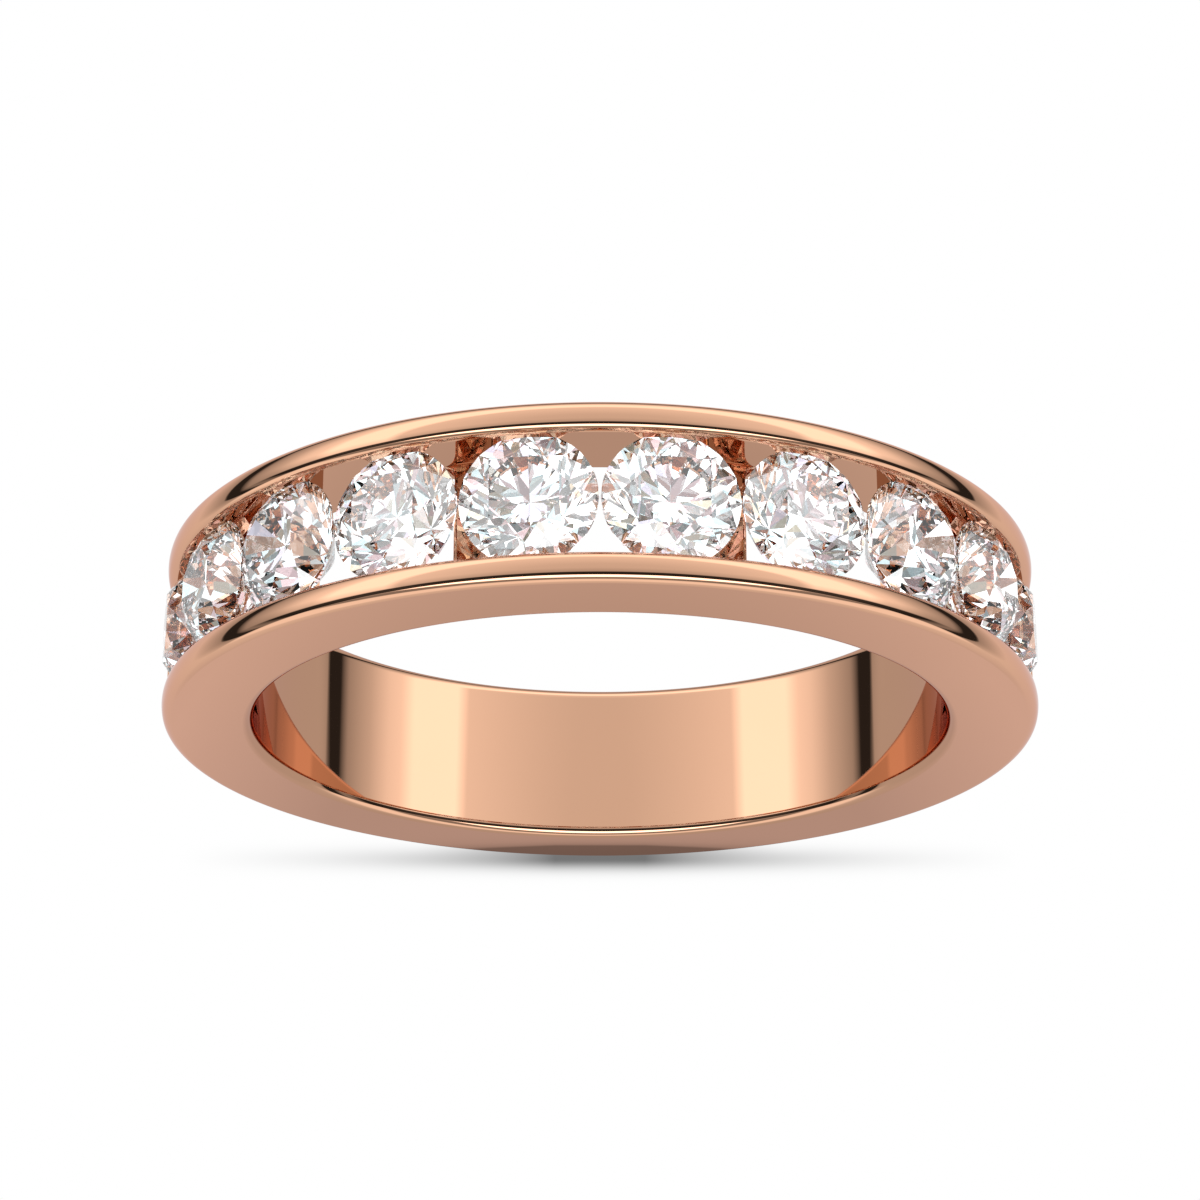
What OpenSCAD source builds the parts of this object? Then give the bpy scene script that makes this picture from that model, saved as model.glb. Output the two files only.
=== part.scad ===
// Channel-set half eternity wedding band with ten round brilliant diamonds.
// Frame: the bore axis runs along Y and the bore centre is the origin.
// The diamonds fill the upper half, symmetric about +Z. Millimetres.

/* [Band] */
// Inside diameter of the finger bore
bore_d = 16.5; // [15.5:0.1:18]
// Radial thickness of the band
wall = 2.15; // [2.1:0.01:2.6]
// Width of the band along the finger
band_w = 4.1; // [3.7:0.05:5]
// Rounding of the two outer edges
outer_edge_r = 0.25; // [0.05:0.01:0.3]
// Rounding of the two bore edges
bore_edge_r = 0.25; // [0.05:0.01:0.3]

/* [Channel] */
// Clear width between the two rails
channel_w = 2.74; // [2.7:0.01:2.95]
// Rounding of the rails beside the channel
channel_edge_r = 0.22; // [0.02:0.01:0.25]
// Metal left past the outermost diamonds, in degrees from the top
channel_half_angle = 89.5; // [89:0.5:95]
// Width of a cross bar, along the band
bar_w = 0.9; // [0.5:0.05:1.1]
// Radial thickness of a cross bar
bar_t = 0.72; // [0.4:0.01:0.8]
// Free space around each girdle in its groove
seat_gap = 0.01; // [0.005:0.005:0.03]

/* [Diamonds] */
// Girdle diameter of each diamond
stone_d = 3.0; // [2.95:0.01:3.03]
// Angle between neighbouring diamonds
stone_pitch = 17.6; // [17.6:0.1:18.4]
// Depth of the girdle's mid-plane under the band's outer surface
girdle_depth = 0.55; // [0.5:0.01:0.8]
// Table width over girdle diameter
table_ratio = 0.54; // [0.5:0.01:0.62]
// Slope of the crown mains
crown_angle = 37; // [30:0.5:38]
// Slope of the pavilion mains
pavilion_angle = 41; // [40:0.1:42]
// Thickness of the girdle
girdle_t = 0.09; // [0.06:0.01:0.12]

/* [Hidden] */
$fn = 180;
FACETS = 8;
HALF_SECTOR = 180 / FACETS;
STONES = 10;
OPENINGS = 5;
STAR_REACH = 0.5;
LOWER_HALF_REACH = 0.77;
CORNER_STEPS = 4;
EASED_TURN = 80;
CUT_MARGIN = 1;
BAR_ROOT = 0.2;
bore_r = bore_d / 2;
outer_r = bore_r + wall;
bar_top_r = bore_r + bar_t;
girdle_r = outer_r - girdle_depth;
stone_r = stone_d / 2;
opening_pitch = 2 * stone_pitch;

// Brilliant cut, worked out from the girdle plane at height zero
table_r = table_ratio * stone_r;
table_z = (stone_r - table_r) * tan(crown_angle);
star_tip_r = table_r * cos(HALF_SECTOR)
    + STAR_REACH * (stone_r - table_r * cos(HALF_SECTOR));
star_tip_z = table_z
    - (star_tip_r * cos(HALF_SECTOR) - table_r) * tan(crown_angle);
star_angle = atan((table_z - star_tip_z)
    / (star_tip_r - table_r * cos(HALF_SECTOR)));
chord_r = stone_r * cos(HALF_SECTOR / 2);
upper_half_angle = atan(star_tip_z
    / (chord_r - star_tip_r * cos(HALF_SECTOR / 2)));
lower_tip_r = stone_r * (1 - LOWER_HALF_REACH);
culet_z = stone_r * tan(pavilion_angle);
lower_tip_z = culet_z
    - lower_tip_r * cos(HALF_SECTOR) * tan(pavilion_angle);
lower_half_angle = atan(lower_tip_z
    / (chord_r - lower_tip_r * cos(HALF_SECTOR / 2)));

rose_gold = [0.86, 0.60, 0.48];
diamond_white = [0.86, 0.92, 0.96];

// Solid wedge of revolution of a profile in (radius, Y), centred on an angle
// from the top
module sweep(centre, span) {
    rotate([90, -90 + centre, 0])
        rotate([0, 0, -span / 2])
            rotate_extrude(angle = span)
                children();
}

// Points of one rounded corner, turning from the angle start
function corner(x, y, r, start, turn) = [
    for (i = [0 : CORNER_STEPS])
        let (a = start + turn * i / CORNER_STEPS)
            [x + r * cos(a), y + r * sin(a)]
];

// Ring before the bore is cut, with its outer edges rounded
module blank_section() {
    outer_x = outer_r - outer_edge_r;
    outer_y = band_w / 2 - outer_edge_r;
    core_x = bore_r - CUT_MARGIN;
    polygon(concat(
        corner(outer_x, outer_y, outer_edge_r, 90, -90),
        corner(outer_x, -outer_y, outer_edge_r, 0, -90),
        [[core_x, -band_w / 2], [core_x, band_w / 2]]
    ));
}

// Eased edge of a cut, turning outwards and running on clear of the metal
function eased_edge(x, y, r) = concat(
    [
        for (i = [0 : CORNER_STEPS])
            let (a = EASED_TURN * i / CORNER_STEPS)
                [x + r * sin(a), y + r * (1 - cos(a))]
    ],
    [[
        x + r * sin(EASED_TURN) + CUT_MARGIN * cos(EASED_TURN),
        y + r * (1 - cos(EASED_TURN)) + CUT_MARGIN * sin(EASED_TURN)
    ]]
);

// Profile of a cut made from one side and its mirror image in Y
function both_sides(side) = concat(
    side,
    [for (i = [len(side) - 1 : -1 : 0]) [side[i][0], -side[i][1]]]
);

// Space of the bore, flared where its edges are rounded
module bore_section() {
    edge = [
        for (p = eased_edge(band_w / 2 - bore_edge_r, bore_r, bore_edge_r))
            [p[1], p[0]]
    ];
    end_y = band_w / 2 + CUT_MARGIN;
    polygon(both_sides(concat(edge, [[edge[len(edge) - 1][0], end_y], [0, end_y]])));
}

// Channel with a groove for the girdles and an eased rim
module channel_section() {
    half = channel_w / 2;
    groove_y = stone_r + seat_gap;
    groove_t = girdle_t / 2 + seat_gap;
    below = (groove_y - half) * tan(lower_half_angle);
    above = (groove_y - half) * tan(upper_half_angle);
    groove = [
        [bore_r - 2 * CUT_MARGIN, half],
        [girdle_r - groove_t - below, half],
        [girdle_r - groove_t, groove_y],
        [girdle_r + groove_t, groove_y],
        [girdle_r + groove_t + above, half]
    ];
    rim = eased_edge(outer_r - channel_edge_r, half, channel_edge_r);
    polygon(both_sides(concat(groove, rim)));
}

// Cross bar between two rails, running a little way into both
module bar(centre, span) {
    bottom = bore_r - CUT_MARGIN / 2;
    sweep(centre, span)
        translate([bottom, -channel_w / 2 - BAR_ROOT])
            square([bar_top_r - bottom, channel_w + 2 * BAR_ROOT]);
}

module band() {
    bar_span = 2 * asin(bar_w / 2 / bar_top_r);
    last_bar = OPENINGS * opening_pitch / 2;
    end_span = channel_half_angle - last_bar + bar_span / 2 + BAR_ROOT;
    end_centre = last_bar + (end_span - bar_span) / 2;
    color(rose_gold)
        difference() {
            union() {
                difference() {
                    rotate([90, 0, 0])
                        rotate_extrude()
                            blank_section();
                    sweep(0, 2 * channel_half_angle)
                        channel_section();
                }
                for (i = [1 : OPENINGS - 1])
                    bar(i * opening_pitch - last_bar, bar_span);
                for (side = [-1, 1])
                    bar(side * end_centre, end_span);
            }
            rotate([90, 0, 0])
                rotate_extrude()
                    bore_section();
        }
}

// Eight-sided pyramid whose faces slope in from a circle at height zero
module facet_ring(inradius, slope, azimuth) {
    half_girdle = girdle_t / 2;
    base = inradius + half_girdle / tan(slope);
    rotate([0, 0, azimuth - HALF_SECTOR])
        cylinder(h = base * tan(slope), r1 = base / cos(HALF_SECTOR), r2 = 0,
            $fn = FACETS);
}

module crown() {
    intersection() {
        cylinder(r = stone_r, h = table_z + girdle_t / 2);
        facet_ring(stone_r, crown_angle, 0);
        facet_ring(star_tip_r + star_tip_z / tan(star_angle), star_angle, HALF_SECTOR);
        facet_ring(chord_r, upper_half_angle, HALF_SECTOR / 2);
        facet_ring(chord_r, upper_half_angle, -HALF_SECTOR / 2);
    }
}

module pavilion() {
    mirror([0, 0, 1])
        intersection() {
            cylinder(r = stone_r, h = culet_z + girdle_t / 2);
            facet_ring(stone_r, pavilion_angle, 0);
            facet_ring(chord_r, lower_half_angle, HALF_SECTOR / 2);
            facet_ring(chord_r, lower_half_angle, -HALF_SECTOR / 2);
        }
}

// Brilliant set in the channel, counted from the -X end, a table edge along
// each rail
module diamond(place) {
    color(diamond_white)
        rotate([0, (place - (STONES + 1) / 2) * stone_pitch, 0])
            translate([0, 0, girdle_r])
                rotate([0, 0, HALF_SECTOR]) {
                    crown();
                    pavilion();
                }
}

module diamond_1() diamond(1);
module diamond_2() diamond(2);
module diamond_3() diamond(3);
module diamond_4() diamond(4);
module diamond_5() diamond(5);
module diamond_6() diamond(6);
module diamond_7() diamond(7);
module diamond_8() diamond(8);
module diamond_9() diamond(9);
module diamond_10() diamond(10);

band();
diamond_1();
diamond_2();
diamond_3();
diamond_4();
diamond_5();
diamond_6();
diamond_7();
diamond_8();
diamond_9();
diamond_10();
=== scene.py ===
"""Rose gold wedding band with a channel of round brilliant diamonds.

Metres. The finger bore runs along Y, its centre is the origin, and the
diamonds fill the upper half.
"""

from math import atan2, cos, pi, radians, sin, sqrt, tan

import bmesh
import bpy
from bpy.props import FloatProperty, FloatVectorProperty, IntProperty, PointerProperty
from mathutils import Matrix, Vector


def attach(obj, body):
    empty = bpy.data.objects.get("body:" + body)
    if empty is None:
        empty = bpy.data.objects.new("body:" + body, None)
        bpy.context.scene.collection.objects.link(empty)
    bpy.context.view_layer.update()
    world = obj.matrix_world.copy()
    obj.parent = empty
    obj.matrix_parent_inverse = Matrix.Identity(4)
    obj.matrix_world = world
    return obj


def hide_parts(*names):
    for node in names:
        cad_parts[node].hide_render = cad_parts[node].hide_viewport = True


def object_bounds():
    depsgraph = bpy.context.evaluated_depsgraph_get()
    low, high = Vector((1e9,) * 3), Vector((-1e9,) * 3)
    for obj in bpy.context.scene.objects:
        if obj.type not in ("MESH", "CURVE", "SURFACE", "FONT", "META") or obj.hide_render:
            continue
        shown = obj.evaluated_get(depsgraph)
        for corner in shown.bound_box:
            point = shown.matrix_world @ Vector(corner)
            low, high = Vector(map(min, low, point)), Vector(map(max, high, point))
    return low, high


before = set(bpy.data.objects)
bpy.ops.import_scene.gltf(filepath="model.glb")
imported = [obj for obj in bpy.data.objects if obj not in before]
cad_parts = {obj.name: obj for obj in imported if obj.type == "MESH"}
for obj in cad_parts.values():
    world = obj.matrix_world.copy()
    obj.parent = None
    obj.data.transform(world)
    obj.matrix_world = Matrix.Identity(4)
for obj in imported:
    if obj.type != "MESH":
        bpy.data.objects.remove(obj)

bl_info = {
    "name": "Channel-set wedding band",
    "version": (1, 0, 0),
    "blender": (4, 5, 0),
    "location": "View3D > Sidebar > Wedding band",
    "description": "Builds a polished rose gold band with a channel of diamonds",
    "category": "Add Mesh",
}

CAD_BOX = [list(corner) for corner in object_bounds()]
MM = 0.001
DIAMONDS = [name for name in sorted(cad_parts) if name.startswith("diamond_")]
STONE_PITCH = radians(17.6)
BARS = (-5, -3, -1, 1, 3, 5)
CHANNEL_END = radians(89.5)
SWEEP_STEP = radians(1)
SAME_PLACE = 1e-9
BAR_STATIONS = 14
BAR_ARC_STEPS = 6


# ---------------------------------------------------------------- settings


class BandSizes(bpy.types.PropertyGroup):
    """Sizes of the casting."""

    bore_radius: FloatProperty(
        name="Bore radius", description="Inside radius of the band",
        default=8.25 * MM, unit="LENGTH", precision=5,
    )
    outer_radius: FloatProperty(
        name="Outer radius", description="Radius to the crest of the rails",
        default=10.4 * MM, unit="LENGTH", precision=5,
    )
    width: FloatProperty(
        name="Width", description="Width of the band along the finger",
        default=4.1 * MM, unit="LENGTH", precision=5,
    )
    channel_width: FloatProperty(
        name="Channel width", description="Clear width between the rails",
        default=2.74 * MM, unit="LENGTH", precision=5,
    )
    edge_rounding: FloatProperty(
        name="Edge rounding", description="Reach of a rounded edge across a rail",
        default=0.25 * MM, unit="LENGTH", precision=5,
    )
    edge_drop: FloatProperty(
        name="Edge drop", description="Depth of a rail's outer rounded edge",
        default=0.25 * MM, unit="LENGTH", precision=5,
    )
    channel_rounding: FloatProperty(
        name="Channel rounding", description="Reach of the edges over the channel",
        default=0.22 * MM, unit="LENGTH", precision=5,
    )
    channel_drop: FloatProperty(
        name="Channel drop", description="Depth of the edges over the channel",
        default=0.24 * MM, unit="LENGTH", precision=5,
    )
    crown_angle: FloatProperty(
        name="Rail crown", description="Lean of a rail's polished top at its edges",
        default=radians(16), subtype="ANGLE",
    )
    bore_rounding: FloatProperty(
        name="Bore rounding", description="Radius of the edges of the bore",
        default=0.25 * MM, unit="LENGTH", precision=5,
    )
    wall_foot: FloatProperty(
        name="Wall foot", description="Radius where the channel opens into the bore",
        default=0.05 * MM, unit="LENGTH", precision=5,
    )
    bar_width: FloatProperty(
        name="Bar width", description="Width of a cross bar along the band",
        default=0.9 * MM, unit="LENGTH", precision=5,
    )
    bar_height: FloatProperty(
        name="Bar height", description="Radial thickness of a cross bar",
        default=0.72 * MM, unit="LENGTH", precision=5,
    )
    bar_rounding: FloatProperty(
        name="Bar rounding", description="Radius of a cross bar's long edges",
        default=0.1 * MM, unit="LENGTH", precision=5,
    )
    bar_fillet: FloatProperty(
        name="Bar fillet", description="Fillet where a cross bar meets a rail",
        default=0.28 * MM, unit="LENGTH", precision=5,
    )
    arc_steps: IntProperty(
        name="Arc steps", description="Segments in each rounded edge", default=10,
    )


class GoldFinish(bpy.types.PropertyGroup):
    """Look of the polished rose gold."""

    colour: FloatVectorProperty(
        name="Gold", description="Colour of the polished metal",
        default=(0.68, 0.392, 0.254), subtype="COLOR", size=3,
    )
    colour_deep: FloatVectorProperty(
        name="Deeper gold", description="Colour where the alloy is a shade redder",
        default=(0.672, 0.384, 0.247), subtype="COLOR", size=3,
    )
    edge_tint: FloatVectorProperty(
        name="Edge tint", description="Tint that keeps the metal as rosy edge-on",
        default=(0.9, 0.75, 0.74), subtype="COLOR", size=3,
    )
    roughness_low: FloatProperty(
        name="Best polish", description="Roughness of the best polished patches",
        default=0.015, subtype="FACTOR",
    )
    roughness_high: FloatProperty(
        name="Worst polish", description="Roughness of the least polished patches",
        default=0.03, subtype="FACTOR",
    )


class DiamondCut(bpy.types.PropertyGroup):
    """Proportions of the brilliants."""

    diameter: FloatProperty(
        name="Diameter", description="Girdle diameter of each diamond",
        default=3.0 * MM, unit="LENGTH", precision=5,
    )
    girdle_radius: FloatProperty(
        name="Setting radius", description="From the bore axis to the girdles",
        default=9.85 * MM, unit="LENGTH", precision=5,
    )
    girdle: FloatProperty(
        name="Girdle", description="Thickness of the girdle",
        default=0.09 * MM, unit="LENGTH", precision=5,
    )
    table: FloatProperty(
        name="Table", description="Table width over girdle diameter",
        default=0.54, subtype="FACTOR",
    )
    crown: FloatProperty(
        name="Crown angle", description="Slope of the crown mains",
        default=radians(37), subtype="ANGLE",
    )
    pavilion: FloatProperty(
        name="Pavilion angle", description="Slope of the pavilion mains",
        default=radians(41), subtype="ANGLE",
    )
    star_reach: FloatProperty(
        name="Star reach", description="Reach of the star facets towards the girdle",
        default=0.5, subtype="FACTOR",
    )
    lower_reach: FloatProperty(
        name="Lower half reach", description="Reach of the lower halves to the culet",
        default=0.77, subtype="FACTOR",
    )


class DiamondFinish(bpy.types.PropertyGroup):
    """Look of the diamonds."""

    index: FloatProperty(
        name="Index", description="Refractive index of diamond",
        default=2.42,
    )
    clarity: FloatProperty(
        name="Clarity", description="Share of light kept by the clearest patches",
        default=1.0, subtype="FACTOR",
    )
    haze: FloatProperty(
        name="Haze", description="Share of light kept by the least clear patches",
        default=0.985, subtype="FACTOR",
    )


class StudioSettings(bpy.types.PropertyGroup):
    """Floor, soft light and camera."""

    floor_radius: FloatProperty(
        name="Floor radius", description="Radius of the pale floor",
        default=0.9, unit="LENGTH",
    )
    floor_tone: FloatProperty(
        name="Floor tone", description="Brightness of the floor in the metal",
        default=0.652, subtype="FACTOR",
    )
    # The shade settings below shape a painted shade on the floor, not a cast shadow.
    shade_start: FloatProperty(
        name="Shade start", description="From the band's middle to its shade",
        default=2.08 * MM, unit="LENGTH", precision=5,
    )
    shade_reach: FloatProperty(
        name="Shade reach", description="How far the shade spreads from the band",
        default=0.31 * MM, unit="LENGTH", precision=5,
    )
    shade_length: FloatProperty(
        name="Shade length", description="Fall of the shade along the band",
        default=4.6 * MM, unit="LENGTH", precision=5,
    )
    shade_depth: FloatProperty(
        name="Shade depth", description="Darkness of the shade where the band touches",
        default=0.82, subtype="FACTOR",
    )
    camera_distance: FloatProperty(
        name="Camera distance", description="From the bore's centre to the camera",
        default=72.46 * MM, unit="LENGTH", precision=5,
    )
    camera_elevation: FloatProperty(
        name="Camera elevation", description="Height of the camera over the horizon",
        default=radians(70.11), subtype="ANGLE",
    )
    camera_lens: FloatProperty(
        name="Focal length", description="Focal length in millimetres", default=90.09,
    )
    camera_rise: FloatProperty(
        name="Rise", description="Upward shift of the view", default=0.0473,
    )


# ------------------------------------------------------------ mesh building


def oval(size, depth, turn):
    """The point of an oval where its normal points along turn."""
    pull = sqrt((size * cos(turn)) ** 2 + (depth * sin(turn)) ** 2)
    return size**2 * cos(turn) / pull, depth**2 * sin(turn) / pull


class RailTop:
    """Sizes of a rail's domed top, worked out from its edges."""

    def __init__(self, sizes):
        lean = pi / 2 - sizes.crown_angle
        edge = oval(sizes.edge_rounding, sizes.edge_drop, lean)
        inner = oval(sizes.channel_rounding, sizes.channel_drop, lean)
        span = sizes.width / 2 - sizes.channel_width / 2
        span -= sizes.edge_rounding - edge[0] + sizes.channel_rounding - inner[0]
        self.crown = span / (2 * sin(sizes.crown_angle))
        side = sizes.outer_radius - self.crown * (1 - cos(sizes.crown_angle))
        self.edge_foot = side - edge[1]
        self.rim = side - inner[1]
        self.flat = (
            sizes.width / 2 - sizes.edge_rounding + edge[0]
            - self.crown * sin(sizes.crown_angle)
        )


class Outline:
    """Closed cross-section, anticlockwise in (across, radius).

    Each segment keeps the surface normal at both of its ends, so rounded
    edges reflect as true curves and flats stay flat.
    """

    def __init__(self, across, radius):
        self.points = [(across, radius)]
        self.normals = []

    def line(self, across, radius):
        old_across, old_radius = self.points[-1]
        step_across, step_radius = across - old_across, radius - old_radius
        length = sqrt(step_across**2 + step_radius**2)
        normal = (step_radius / length, -step_across / length)
        self.normals.append((normal, normal))
        self.points.append((across, radius))

    def arc(self, size, start, end, steps, depth=None):
        """Rounded edge whose normal turns from start to end.

        Its reach across is its size, and its depth is the same if not given.
        """
        depth = size if depth is None else depth
        across, radius = self.points[-1]
        first = oval(size, depth, start)
        centre = (across - first[0], radius - first[1])
        for i in range(steps):
            before = start + (end - start) * i / steps
            after = start + (end - start) * (i + 1) / steps
            self.normals.append(
                ((cos(before), sin(before)), (cos(after), sin(after)))
            )
            place = oval(size, depth, after)
            self.points.append((centre[0] + place[0], centre[1] + place[1]))

    def close(self):
        """Joins the last point to the first."""
        first, last = self.points[0], self.points[-1]
        gap = sqrt((first[0] - last[0]) ** 2 + (first[1] - last[1]) ** 2)
        if gap > SAME_PLACE:
            self.line(*first)
        self.points.pop()
        return self

    def mirrored(self):
        """The same outline on the other side of the band."""
        other = Outline(0, 0)
        other.points = [(-a, r) for a, r in self.points[:1] + self.points[:0:-1]]
        other.normals = [
            ((-end[0], end[1]), (-start[0], start[1]))
            for start, end in reversed(self.normals)
        ]
        return other


def around(across, radius, angle):
    """A place on the band, at an angle from the top."""
    return Vector((radius * sin(angle), across, radius * cos(angle)))


class Casting:
    """Collects faces with a normal for each corner."""

    def __init__(self):
        self.places = []
        self.faces = []
        self.corner_normals = []

    def add_place(self, place):
        self.places.append(place)
        return len(self.places) - 1

    def add_face(self, corners, normals):
        self.faces.append(corners)
        self.corner_normals.extend(normals)

    def sweep(self, outline, start, end, capped=False):
        """Sweeps an outline round the bore axis."""
        steps = max(2, round(abs(end - start) / SWEEP_STEP))
        count = len(outline.points)
        angles = [start + (end - start) * i / steps for i in range(steps + 1)]
        rows = [
            [self.add_place(around(a, r, angle)) for a, r in outline.points]
            for angle in angles
        ]
        for i in range(steps):
            for j in range(count):
                k = (j + 1) % count
                first, second = outline.normals[j]
                self.add_face(
                    [rows[i][j], rows[i][k], rows[i + 1][k], rows[i + 1][j]],
                    [
                        around(*first, angles[i]), around(*second, angles[i]),
                        around(*second, angles[i + 1]), around(*first, angles[i + 1]),
                    ],
                )
        if capped:
            before = around(0, -1, angles[0] + pi / 2)
            after = around(0, 1, angles[-1] + pi / 2)
            self.add_face(rows[0][::-1], [before] * count)
            self.add_face(rows[-1], [after] * count)

    def finish(self, name, material):
        """Makes the object, polished with the collected normals."""
        mesh = bpy.data.meshes.new(name)
        mesh.from_pydata(self.places, [], self.faces)
        if mesh.validate():
            raise RuntimeError(f"{name}: the mesh had faults")
        mesh.polygons.foreach_set("use_smooth", [True] * len(mesh.polygons))
        mesh.normals_split_custom_set([n.normalized() for n in self.corner_normals])
        mesh.materials.append(material)
        piece = bpy.data.objects.new(name, mesh)
        bpy.context.scene.collection.objects.link(piece)
        return piece


def rail_outline(sizes):
    """The rail on the -Y side: bore, channel wall, domed top, face."""
    outer = -sizes.width / 2
    wall = -sizes.channel_width / 2
    steps = sizes.arc_steps
    lean = sizes.crown_angle
    top = RailTop(sizes)
    outline = Outline(outer + sizes.bore_rounding, sizes.bore_radius)
    outline.line(wall - sizes.wall_foot, sizes.bore_radius)
    outline.arc(sizes.wall_foot, -pi / 2, 0, steps)
    outline.line(wall, top.rim)
    outline.arc(sizes.channel_rounding, 0, pi / 2 - lean, steps, sizes.channel_drop)
    outline.arc(top.crown, pi / 2 - lean, pi / 2 + lean, steps)
    outline.arc(sizes.edge_rounding, pi / 2 + lean, pi, steps, sizes.edge_drop)
    outline.line(outer, sizes.bore_radius + sizes.bore_rounding)
    outline.arc(sizes.bore_rounding, pi, 3 * pi / 2, steps)
    return outline.close()


def shank_outline(sizes):
    """The plain lower band, with the rails' edges."""
    half = sizes.width / 2
    steps = sizes.arc_steps
    lean = sizes.crown_angle
    top = RailTop(sizes)
    outline = Outline(-half + sizes.bore_rounding, sizes.bore_radius)
    outline.line(half - sizes.bore_rounding, sizes.bore_radius)
    outline.arc(sizes.bore_rounding, -pi / 2, 0, steps)
    outline.line(half, top.edge_foot)
    outline.arc(sizes.edge_rounding, 0, pi / 2 - lean, steps, sizes.edge_drop)
    outline.arc(top.crown, pi / 2 - lean, pi / 2, steps)
    outline.line(-top.flat, sizes.outer_radius)
    outline.arc(top.crown, pi / 2, pi / 2 + lean, steps)
    outline.arc(sizes.edge_rounding, pi / 2 + lean, pi, steps, sizes.edge_drop)
    outline.line(-half, sizes.bore_radius + sizes.bore_rounding)
    outline.arc(sizes.bore_rounding, pi, 3 * pi / 2, steps)
    return outline.close()


def bar_half_width(sizes, across):
    """Half width of a cross bar, flared into a fillet beside the rails."""
    reach = abs(across) - (sizes.channel_width / 2 - sizes.bar_fillet)
    if reach <= 0:
        return sizes.bar_width / 2
    reach = min(reach, sizes.bar_fillet)
    return sizes.bar_width / 2 + sizes.bar_fillet - sqrt(
        sizes.bar_fillet**2 - reach**2
    )


def add_bar(casting, sizes, angle):
    """One cross bar, lofted from rail to rail."""
    half = sizes.channel_width / 2
    stations = [
        half * sin(pi / 2 * i / BAR_STATIONS) for i in range(BAR_STATIONS + 1)
    ]
    stations = [-s for s in reversed(stations[1:])] + stations
    top = sizes.bore_radius + sizes.bar_height
    round_edge = sizes.bar_rounding
    rows = []
    for across in stations:
        reach = bar_half_width(sizes, across)
        row = Outline(-reach, sizes.bore_radius)
        row.line(reach, sizes.bore_radius)
        row.line(reach, top - round_edge)
        row.arc(round_edge, 0, pi / 2, BAR_ARC_STEPS)
        row.line(round_edge - reach, top)
        row.arc(round_edge, pi / 2, pi, BAR_ARC_STEPS)
        row.close()
        rows.append([
            around(across, r, angle + a / sizes.bore_radius) for a, r in row.points
        ])
    base = [[casting.add_place(p) for p in row] for row in rows]
    count = len(base[0])
    for i in range(len(base) - 1):
        for j in range(count):
            k = (j + 1) % count
            corners = [base[i][j], base[i + 1][j], base[i + 1][k], base[i][k]]
            a, b, c, d = (casting.places[v] for v in corners)
            normal = (c - a).cross(d - b).normalized()
            casting.add_face(corners, [normal] * 4)


# ----------------------------------------------------------------- diamonds

SECTOR = pi / 8
GIRDLE_SEGMENTS = 96
JOINED = 1e-7


def facet_planes(cut):
    """Every facet of a brilliant, as (azimuth, slope, reach, height, sign).

    A facet's plane leans by its slope and passes through the point at its
    reach along its azimuth, at its height over the girdle's middle.
    """
    radius = cut.diameter / 2
    half_girdle = cut.girdle / 2
    table = cut.table * radius
    crown_rise = (radius - table) * tan(cut.crown)
    table_mid = table * cos(SECTOR)
    star_tip = table_mid + cut.star_reach * (radius - table_mid)
    star_rise = crown_rise - (star_tip * cos(SECTOR) - table) * tan(cut.crown)
    star = atan2(crown_rise - star_rise, star_tip - table_mid)
    chord = radius * cos(SECTOR / 2)
    upper_half = atan2(star_rise, chord - star_tip * cos(SECTOR / 2))
    lower_tip = radius * (1 - cut.lower_reach)
    lower_drop = (radius - lower_tip * cos(SECTOR)) * tan(cut.pavilion)
    lower_half = atan2(lower_drop, chord - lower_tip * cos(SECTOR / 2))
    planes = [(0, 0, 0, crown_rise + half_girdle, 1)]
    for i in range(8):
        main = 2 * i * SECTOR + SECTOR
        planes.append((main, cut.crown, radius, half_girdle, 1))
        planes.append((main + SECTOR, star, star_tip, star_rise + half_girdle, 1))
        planes.append((main, cut.pavilion, radius, -half_girdle, -1))
        for side in (-SECTOR / 2, SECTOR / 2):
            planes.append((main + side, upper_half, chord, half_girdle, 1))
            planes.append((main + side, lower_half, chord, -half_girdle, -1))
    return planes


def brilliant_mesh(cut):
    """A round brilliant with flat facets, its girdle at height zero."""
    shape = bmesh.new()
    bmesh.ops.create_cone(
        shape, cap_ends=True, segments=GIRDLE_SEGMENTS, radius1=cut.diameter / 2,
        radius2=cut.diameter / 2, depth=2 * cut.diameter,
    )
    for azimuth, slope, reach, height, sign in facet_planes(cut):
        normal = Vector(
            (sin(slope) * cos(azimuth), sin(slope) * sin(azimuth), sign * cos(slope))
        )
        point = Vector((reach * cos(azimuth), reach * sin(azimuth), height))
        sliced = bmesh.ops.bisect_plane(
            shape, geom=shape.verts[:] + shape.edges[:] + shape.faces[:],
            dist=SAME_PLACE, plane_co=point, plane_no=normal, clear_outer=True,
        )
        rim = [e for e in sliced["geom_cut"] if isinstance(e, bmesh.types.BMEdge)]
        if rim:
            bmesh.ops.edgeloop_fill(shape, edges=rim)
    bmesh.ops.remove_doubles(shape, verts=shape.verts[:], dist=JOINED)
    bmesh.ops.recalc_face_normals(shape, faces=shape.faces[:])
    open_edges = [e for e in shape.edges if len(e.link_faces) != 2]
    if open_edges:
        raise RuntimeError(f"brilliant has {len(open_edges)} open edges")
    mesh = bpy.data.meshes.new("brilliant")
    shape.to_mesh(mesh)
    shape.free()
    mesh.polygons.foreach_set("use_smooth", [False] * len(mesh.polygons))
    return mesh


# ---------------------------------------------------------------- materials

ALLOY_SCALE, ALLOY_DETAIL = 420.0, 2.0
HAZE_SCALE, HAZE_DETAIL = 2600.0, 3.0
HAZE_LOW, HAZE_HIGH = 0.35, 0.7
GROWTH_SCALE, GROWTH_DETAIL = 900.0, 2.0
# Where the floor fades out of the metal's reflections
FADE_FROM, FADE_TO = 8 * MM, 13 * MM
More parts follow.
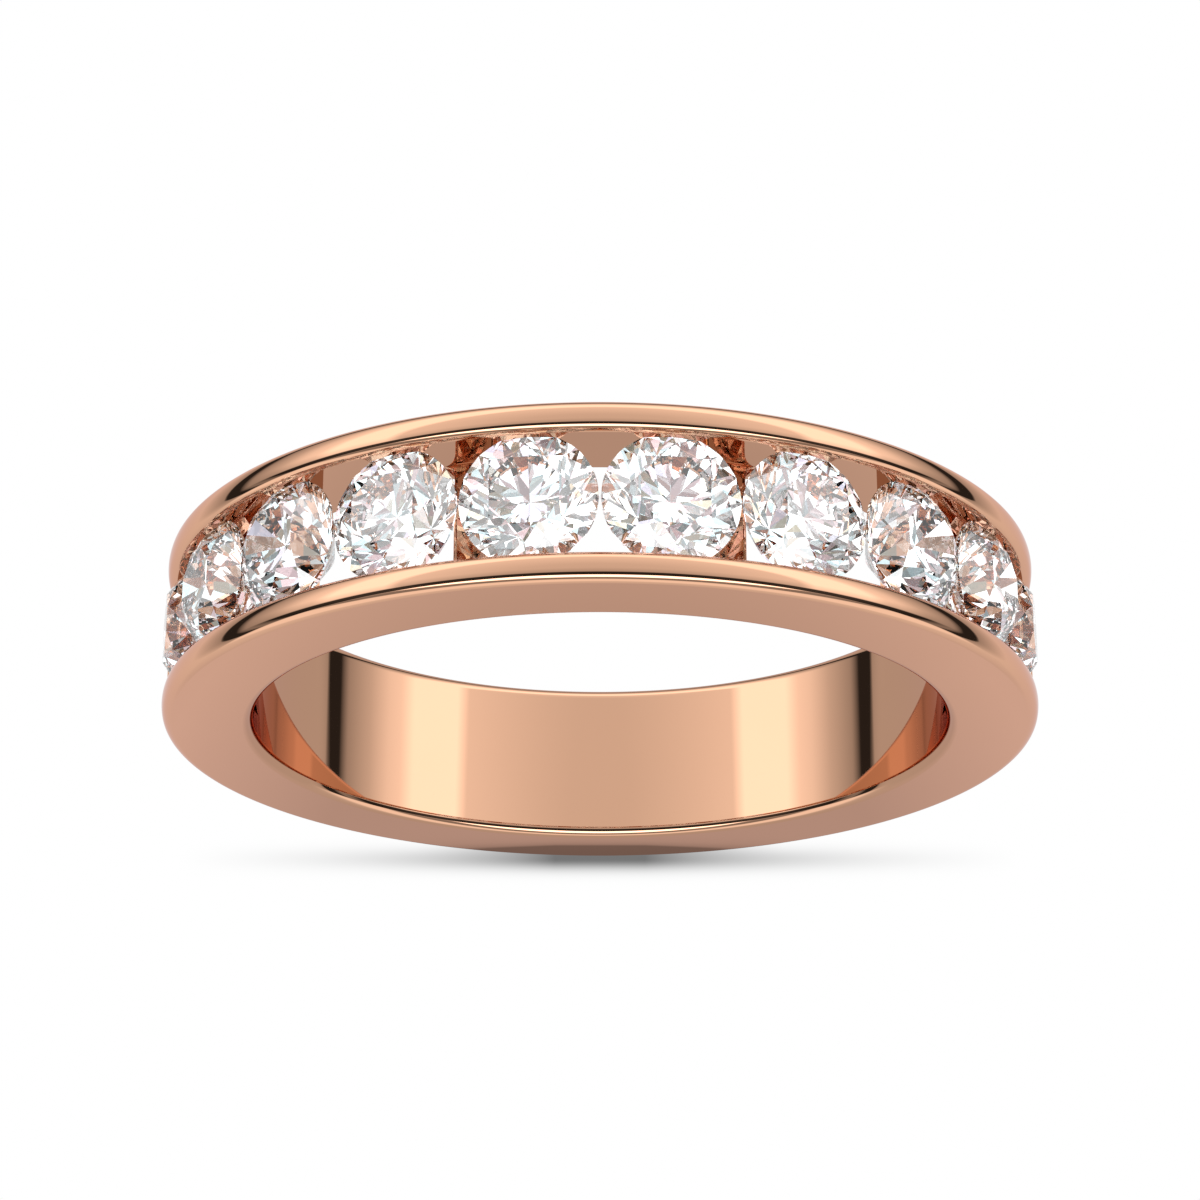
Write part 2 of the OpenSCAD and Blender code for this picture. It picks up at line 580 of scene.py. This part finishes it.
# Painted shade on the floor beside the band: its strength, what is cut from its faint
# ends, and the distance from the middle where the painted shade under the band opens up
SHADE_GAIN, SHADE_CUT = 1.2, 0.1
SHADE_OPENS = 5 * MM
# The painted shade as the polished metal mirrors it, darker, by the painted shade factor
# of the floor
MIRROR_SHADE = ((0, 0.36), (0.7, 0.4), (0.78, 0.74), (0.9, 0.92), (1, 1))


def new_material(name):
    """An empty node material and its output."""
    material = bpy.data.materials.new(name)
    material.use_nodes = True
    material.node_tree.nodes.clear()
    return material, material.node_tree.nodes.new("ShaderNodeOutputMaterial")


def feed(tree, entry, value):
    """Sets an input to a plain value, or joins it to another node."""
    if isinstance(value, bpy.types.NodeSocket):
        tree.links.new(value, entry)
    else:
        entry.default_value = value


def arithmetic(tree, operation, first, second=0.0):
    """One step of arithmetic on values or on other nodes' outputs."""
    step = tree.nodes.new("ShaderNodeMath")
    step.operation = operation
    feed(tree, step.inputs[0], first)
    feed(tree, step.inputs[1], second)
    return step.outputs["Value"]


def rescaled(tree, value, low, high, new_low=0.0, new_high=1.0):
    """A value carried from one range to another and held at its ends."""
    step = tree.nodes.new("ShaderNodeMapRange")
    step.inputs["From Min"].default_value = low
    step.inputs["From Max"].default_value = high
    step.inputs["To Min"].default_value = new_low
    step.inputs["To Max"].default_value = new_high
    tree.links.new(value, step.inputs["Value"])
    return step.outputs["Result"]


def mixed(tree, share, first, second, blend="MIX"):
    """Two colours put together by the share of the second."""
    step = tree.nodes.new("ShaderNodeMix")
    step.data_type = "RGBA"
    step.blend_type = blend
    feed(tree, step.inputs["Factor"], share)
    feed(tree, step.inputs["A"], first)
    feed(tree, step.inputs["B"], second)
    return step.outputs["Result"]


def grey_ramp(tree, value, stops, low, high, scale):
    """Greys read at a value, over stops given between low and high."""
    ramp = tree.nodes.new("ShaderNodeValToRGB")
    elements = ramp.color_ramp.elements
    elements.remove(elements[1])
    elements[0].position = (stops[0][0] - low) / (high - low)
    elements[0].color = (*(stops[0][1] / scale,) * 3, 1)
    for at, light in stops[1:]:
        element = elements.new((at - low) / (high - low))
        element.color = (*(light / scale,) * 3, 1)
    tree.links.new(value, ramp.inputs["Fac"])
    return ramp


def clouds(tree, scale, detail):
    """Noise fixed to the piece."""
    place = tree.nodes.new("ShaderNodeTexCoord")
    noise = tree.nodes.new("ShaderNodeTexNoise")
    noise.inputs["Scale"].default_value = scale
    noise.inputs["Detail"].default_value = detail
    tree.links.new(place.outputs["Object"], noise.inputs["Vector"])
    return noise.outputs["Fac"]


def two_tone(tree, value, low, high):
    """A colour between two others."""
    ramp = tree.nodes.new("ShaderNodeValToRGB")
    ramp.color_ramp.elements[0].color = (*low, 1)
    ramp.color_ramp.elements[1].color = (*high, 1)
    tree.links.new(value, ramp.inputs["Fac"])
    return ramp.outputs["Color"]


def rose_gold_material(finish):
    """Mirror-polished rose gold with faint polishing haze."""
    material, output = new_material("rose_gold_polished")
    tree = material.node_tree
    metal = tree.nodes.new("ShaderNodeBsdfPrincipled")
    metal.inputs["Metallic"].default_value = 1.0
    metal.inputs["Specular Tint"].default_value = (*finish.edge_tint, 1)
    tree.links.new(metal.outputs["BSDF"], output.inputs["Surface"])
    alloy = clouds(tree, ALLOY_SCALE, ALLOY_DETAIL)
    shade = two_tone(tree, alloy, finish.colour_deep, finish.colour)
    tree.links.new(shade, metal.inputs["Base Color"])
    polish = rescaled(
        tree, clouds(tree, HAZE_SCALE, HAZE_DETAIL), HAZE_LOW, HAZE_HIGH,
        finish.roughness_low, finish.roughness_high,
    )
    tree.links.new(polish, metal.inputs["Roughness"])
    return material


def diamond_material(finish):
    """Colourless diamond with faint growth haze."""
    material, output = new_material("diamond_brilliant")
    tree = material.node_tree
    stone = tree.nodes.new("ShaderNodeBsdfPrincipled")
    stone.inputs["IOR"].default_value = finish.index
    stone.inputs["Roughness"].default_value = 0.0
    stone.inputs["Transmission Weight"].default_value = 1.0
    tree.links.new(stone.outputs["BSDF"], output.inputs["Surface"])
    growth = clouds(tree, GROWTH_SCALE, GROWTH_DETAIL)
    clear = two_tone(tree, growth, (finish.haze,) * 3, (finish.clarity,) * 3)
    tree.links.new(clear, stone.inputs["Base Color"])
    return material


def painted_shade_factor(tree, place, studio):
    """Painted shade on the floor, as a brightness factor: least beside the band, where it
    touches.
    """
    # The floor is emissive, so this is a painted shade rather than a shadow cast by a
    # light.
    split = tree.nodes.new("ShaderNodeSeparateXYZ")
    tree.links.new(place, split.inputs["Vector"])
    out = arithmetic(tree, "ABSOLUTE", split.outputs["X"])
    along = arithmetic(tree, "DIVIDE", out, -studio.shade_length)
    along = arithmetic(tree, "EXPONENT", along)
    along = arithmetic(tree, "MULTIPLY", along, SHADE_GAIN)
    along = arithmetic(tree, "SUBTRACT", along, SHADE_CUT)
    along = arithmetic(tree, "MAXIMUM", along, 0.0)
    along = arithmetic(tree, "MINIMUM", along, studio.shade_depth)
    aside = arithmetic(tree, "ABSOLUTE", split.outputs["Y"])
    aside = arithmetic(tree, "SUBTRACT", aside, studio.shade_start)
    opened = arithmetic(tree, "DIVIDE", out, SHADE_OPENS)
    opened = arithmetic(tree, "MINIMUM", opened, 1.0)
    under = arithmetic(tree, "MULTIPLY", aside, opened)
    aside = arithmetic(tree, "MAXIMUM", aside, under)
    aside = arithmetic(tree, "DIVIDE", aside, studio.shade_reach)
    aside = arithmetic(tree, "MULTIPLY", aside, aside)
    aside = arithmetic(tree, "MULTIPLY", aside, -1.0)
    aside = arithmetic(tree, "EXPONENT", aside)
    shade = arithmetic(tree, "MULTIPLY", along, aside)
    return arithmetic(tree, "SUBTRACT", 1.0, shade)


def floor_material(studio):
    """Bright pale floor with a painted soft shade where the band touches it.

    Only the metal's reflections see its darker tone, a darker painted copy of the shade,
    and its far edge fade.
    """
    material, output = new_material("studio_floor")
    tree = material.node_tree
    nodes, links = tree.nodes, tree.links
    place = nodes.new("ShaderNodeTexCoord").outputs["Object"]
    glossy = nodes.new("ShaderNodeLightPath").outputs["Is Glossy Ray"]
    # Painted shade where the band touches the floor; glossy rays get a darker painted copy
    # of it
    painted_floor_shade = painted_shade_factor(tree, place, studio)
    mirrored = grey_ramp(tree, painted_floor_shade, MIRROR_SHADE, 0, 1, 1).outputs["Color"]
    glow = nodes.new("ShaderNodeEmission")
    links.new(mixed(tree, glossy, painted_floor_shade, mirrored), glow.inputs["Color"])
    tone = rescaled(tree, glossy, 0.0, 1.0, 1.0, studio.floor_tone)
    links.new(tone, glow.inputs["Strength"])
    clear = nodes.new("ShaderNodeBsdfTransparent")
    distance = nodes.new("ShaderNodeVectorMath")
    distance.operation = "LENGTH"
    links.new(place, distance.inputs[0])
    fade = rescaled(tree, distance.outputs["Value"], FADE_FROM, FADE_TO)
    mix = nodes.new("ShaderNodeMixShader")
    links.new(arithmetic(tree, "MULTIPLY", fade, glossy), mix.inputs["Fac"])
    links.new(glow.outputs["Emission"], mix.inputs[1])
    links.new(clear.outputs["BSDF"], mix.inputs[2])
    links.new(mix.outputs["Shader"], output.inputs["Surface"])
    return material


# ------------------------------------------------------------------- studio

LIGHT_SCALE = 4.0
# Brightness of the studio by degrees down from overhead: an even ceiling, a
# bright ring, a dark horizon and the pale ground
SIDE_LIGHT = (
    (0, 0.9), (20, 0.95), (50, 1.25), (54, 2.0), (70, 2.0), (75, 1.45), (80, 1.3),
    (88, 0.85), (98, 0.5), (102, 0.03), (108, 0.03), (109, 0.5), (123, 1.0),
    (180, 0.85),
)
# The same towards the front, which draws the lines along the rounded edges
FRONT_LIGHT = (
    (0, 0.9), (44, 1.2), (46, 3.9), (64, 3.9), (68, 0.4), (84, 0.3), (90, 1.35),
    (112, 1.35), (120, 1.0), (130, 0.95), (150, 0.85), (180, 0.75),
)
# Light cards that only the diamonds gather, by chance, and their faint hues
CARD_LIGHT = ((0.0, 0.05), (0.08, 0.35), (0.3, 0.8), (0.45, 1.4), (0.8, 2.2))
CARD_HUES = (
    (0.4, (1, 0.78, 0.82)), (0.55, (0.76, 0.95, 1.0)), (0.68, (1, 0.93, 0.74)),
    (0.78, (0.86, 0.84, 1)), (0.84, (1, 1, 1)),
)
# Grey hood over the diamonds, which makes their arrows
HOOD_HEIGHT, HOOD_INNER, HOOD_OUTER = radians(81), radians(17), radians(20)
HOOD_LIGHT = 0.28
CARD_SCALE = 3.2
# Share of plain light in what the metal mirrors after its first bounce
DEEP_SHARE, DEEP_LIGHT = 0.6, 0.85
FIRST_BOUNCE, SECOND_BOUNCE = 2.0, 3.0
# Dark gap over the front, by how far a direction leans along an axis
GAP_LEAN = (0.0, 1.0, 0.182)
GAP_SHADE = (
    (-1.0, 1.0), (-0.56, 1.0), (-0.52, 0.03), (-0.13, 0.03), (-0.02, 0.7), (0.25, 1.0),
    (1.0, 1.0),
)
# The gap ends a little below the horizon
GAP_FOOT = -0.2
# Lean where the side light gives way to the front light
FRONT_FROM, FRONT_TO = -0.5, -0.58
FLOOR_SEGMENTS = 96
MOST_BOUNCES, MIRROR_BOUNCES = 24, 12


def leaning(tree, way, axis):
    """How far a direction leans along an axis, from -1 to 1."""
    lean = tree.nodes.new("ShaderNodeVectorMath")
    lean.operation = "DOT_PRODUCT"
    lean.inputs[1].default_value = axis
    tree.links.new(way, lean.inputs[0])
    return lean.outputs["Value"]


def background(tree, colour, strength=1.0):
    """A background shader of one colour input."""
    shader = tree.nodes.new("ShaderNodeBackground")
    shader.inputs["Strength"].default_value = strength
    feed(tree, shader.inputs["Color"], colour)
    return shader.outputs["Background"]


def metal_light(tree, way, depth):
    """What the metal mirrors: bright ring, dark gap and horizon, pale ground."""
    split = tree.nodes.new("ShaderNodeSeparateXYZ")
    tree.links.new(way, split.inputs["Vector"])
    drop = arithmetic(tree, "ARCCOSINE", split.outputs["Z"])
    drop = arithmetic(tree, "DIVIDE", drop, pi)
    side = grey_ramp(tree, drop, SIDE_LIGHT, 0, 180, LIGHT_SCALE).outputs["Color"]
    front = grey_ramp(tree, drop, FRONT_LIGHT, 0, 180, LIGHT_SCALE).outputs["Color"]
    lean = leaning(tree, way, GAP_LEAN)
    gap = rescaled(tree, lean, -1.0, 1.0)
    gap = grey_ramp(tree, gap, GAP_SHADE, -1, 1, 1).outputs["Color"]
    facing = rescaled(tree, lean, FRONT_FROM, FRONT_TO)
    light = mixed(tree, facing, side, front)
    above = rescaled(tree, split.outputs["Z"], GAP_FOOT, 0.0)
    light = mixed(tree, above, light, gap, "MULTIPLY")
    deep = rescaled(tree, depth, FIRST_BOUNCE, SECOND_BOUNCE, 0.0, DEEP_SHARE)
    return mixed(tree, deep, light, (*(DEEP_LIGHT / LIGHT_SCALE,) * 3, 1))


def gem_light(tree, way):
    """What the diamonds gather: scattered cards of light under a grey hood."""
    nodes, links = tree.nodes, tree.links
    scatter = nodes.new("ShaderNodeTexVoronoi")
    scatter.inputs["Scale"].default_value = CARD_SCALE
    links.new(way, scatter.inputs["Vector"])
    chance = nodes.new("ShaderNodeSeparateColor")
    links.new(scatter.outputs["Color"], chance.inputs["Color"])
    cards = grey_ramp(tree, chance.outputs["Red"], CARD_LIGHT, 0, 1, LIGHT_SCALE)
    cards.color_ramp.interpolation = "CONSTANT"
    hues = nodes.new("ShaderNodeValToRGB")
    hues.color_ramp.interpolation = "CONSTANT"
    hues.color_ramp.elements.remove(hues.color_ramp.elements[1])
    hues.color_ramp.elements[0].color = (1, 1, 1, 1)
    for at, colour in CARD_HUES:
        hues.color_ramp.elements.new(at).color = (*colour, 1)
    links.new(chance.outputs["Green"], hues.inputs["Fac"])
    cards = cards.outputs["Color"]
    tint = mixed(tree, 1.0, cards, hues.outputs["Color"], "MULTIPLY")
    hood = leaning(tree, way, (0, -cos(HOOD_HEIGHT), sin(HOOD_HEIGHT)))
    hood = rescaled(tree, hood, cos(HOOD_OUTER), cos(HOOD_INNER), 1.0, HOOD_LIGHT)
    hooded = nodes.new("ShaderNodeVectorMath")
    hooded.operation = "SCALE"
    links.new(tint, hooded.inputs[0])
    links.new(hood, hooded.inputs["Scale"])
    return hooded.outputs["Vector"]


def build_world():
    """Soft studio surround, chosen by what looks at it."""
    world = bpy.data.worlds.new("studio_surround")
    bpy.context.scene.world = world
    world.use_nodes = True
    tree = world.node_tree
    nodes, links = tree.nodes, tree.links
    nodes.clear()
    output = nodes.new("ShaderNodeOutputWorld")
    way = nodes.new("ShaderNodeTexCoord").outputs["Generated"]
    ray = nodes.new("ShaderNodeLightPath")
    around_metal = metal_light(tree, way, ray.outputs["Ray Depth"])
    around_metal = background(tree, around_metal, LIGHT_SCALE)
    around_gems = background(tree, gem_light(tree, way), LIGHT_SCALE)
    through = nodes.new("ShaderNodeMixShader")
    links.new(ray.outputs["Is Transmission Ray"], through.inputs["Fac"])
    links.new(around_metal, through.inputs[1])
    links.new(around_gems, through.inputs[2])
    seen = nodes.new("ShaderNodeMixShader")
    links.new(ray.outputs["Is Camera Ray"], seen.inputs["Fac"])
    links.new(through.outputs["Shader"], seen.inputs[1])
    links.new(background(tree, (1, 1, 1, 1)), seen.inputs[2])
    links.new(seen.outputs["Shader"], output.inputs["Surface"])


# ---------------------------------------------------------------- operators


class WEDDING_OT_band(bpy.types.Operator):
    """Builds the polished casting: shank, rails and cross bars"""

    bl_idname = "wedding_band.band"
    bl_label = "Band"

    def execute(self, context):
        sizes = context.scene.band_sizes
        casting = Casting()
        rail = rail_outline(sizes)
        shank = shank_outline(sizes)
        casting.sweep(shank, CHANNEL_END, 2 * pi - CHANNEL_END, capped=True)
        casting.sweep(rail, -CHANNEL_END, CHANNEL_END)
        casting.sweep(rail.mirrored(), -CHANNEL_END, CHANNEL_END)
        for place in BARS:
            add_bar(casting, sizes, place * STONE_PITCH)
        gold = rose_gold_material(context.scene.gold_finish)
        piece = casting.finish("band_casting", gold)
        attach(piece, "root")
        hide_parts("band")
        return {"FINISHED"}


class WEDDING_OT_diamonds(bpy.types.Operator):
    """Cuts and sets the ten round brilliants"""

    bl_idname = "wedding_band.diamonds"
    bl_label = "Diamonds"

    def execute(self, context):
        if len(DIAMONDS) != 10:
            raise RuntimeError(f"expected ten diamonds, found {len(DIAMONDS)}")
        cut = context.scene.diamond_cut
        mesh = brilliant_mesh(cut)
        mesh.materials.append(diamond_material(context.scene.diamond_finish))
        for i in range(10):
            angle = (i - 4.5) * STONE_PITCH
            stone = bpy.data.objects.new(f"brilliant_{i + 1}", mesh)
            stone.location = around(0, cut.girdle_radius, angle)
            stone.rotation_euler = (0, angle, 0)
            context.scene.collection.objects.link(stone)
            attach(stone, "root")
            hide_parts(f"diamond_{i + 1}")
        return {"FINISHED"}


class WEDDING_OT_stage(bpy.types.Operator):
    """Sets the pale floor, the soft light and the camera"""

    bl_idname = "wedding_band.stage"
    bl_label = "Stage"

    def execute(self, context):
        studio = context.scene.studio_settings
        scene = context.scene
        mesh = bpy.data.meshes.new("floor")
        shape = bmesh.new()
        bmesh.ops.create_circle(
            shape, cap_ends=True, segments=FLOOR_SEGMENTS,
            radius=studio.floor_radius,
        )
        shape.to_mesh(mesh)
        shape.free()
        mesh.materials.append(floor_material(studio))
        floor = bpy.data.objects.new("floor", mesh)
        floor.location = (0, 0, CAD_BOX[0][2])
        scene.collection.objects.link(floor)
        floor.visible_transmission = False
        build_world()
        data = bpy.data.cameras.new("camera")
        data.lens = studio.camera_lens
        data.shift_y = studio.camera_rise
        data.clip_start = 1 * MM
        camera = bpy.data.objects.new("camera", data)
        height = studio.camera_elevation
        towards = Vector((0, -cos(height), sin(height)))
        camera.location = towards * studio.camera_distance
        camera.rotation_euler = (pi / 2 - height, 0, 0)
        scene.collection.objects.link(camera)
        scene.camera = camera
        scene.view_settings.view_transform = "Standard"
        scene.cycles.max_bounces = MOST_BOUNCES
        scene.cycles.glossy_bounces = MIRROR_BOUNCES
        scene.cycles.transmission_bounces = MOST_BOUNCES
        scene.cycles.caustics_reflective = False
        scene.cycles.caustics_refractive = False
        return {"FINISHED"}


class WEDDING_PT_panel(bpy.types.Panel):
    """Sizes, finishes and steps of the wedding band"""

    bl_label = "Wedding band"
    bl_idname = "WEDDING_PT_panel"
    bl_space_type = "VIEW_3D"
    bl_region_type = "UI"
    bl_category = "Wedding band"

    def draw(self, context):
        layout = self.layout
        for group in GROUPS:
            box = layout.box()
            settings = getattr(context.scene, group)
            for name in settings.__annotations__:
                box.prop(settings, name)
        for step in STEPS:
            layout.operator(step.bl_idname)


GROUPS = {
    "band_sizes": BandSizes,
    "gold_finish": GoldFinish,
    "diamond_cut": DiamondCut,
    "diamond_finish": DiamondFinish,
    "studio_settings": StudioSettings,
}
STEPS = (WEDDING_OT_band, WEDDING_OT_diamonds, WEDDING_OT_stage)
CLASSES = (*GROUPS.values(), *STEPS, WEDDING_PT_panel)


def register():
    for cls in CLASSES:
        bpy.utils.register_class(cls)
    for name, group in GROUPS.items():
        setattr(bpy.types.Scene, name, PointerProperty(type=group))


def unregister():
    for name in GROUPS:
        delattr(bpy.types.Scene, name)
    for cls in reversed(CLASSES):
        bpy.utils.unregister_class(cls)


def main():
    register()
    bpy.ops.wedding_band.band()
    bpy.ops.wedding_band.diamonds()
    bpy.ops.wedding_band.stage()
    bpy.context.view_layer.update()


if __name__ == "__main__":
    main()
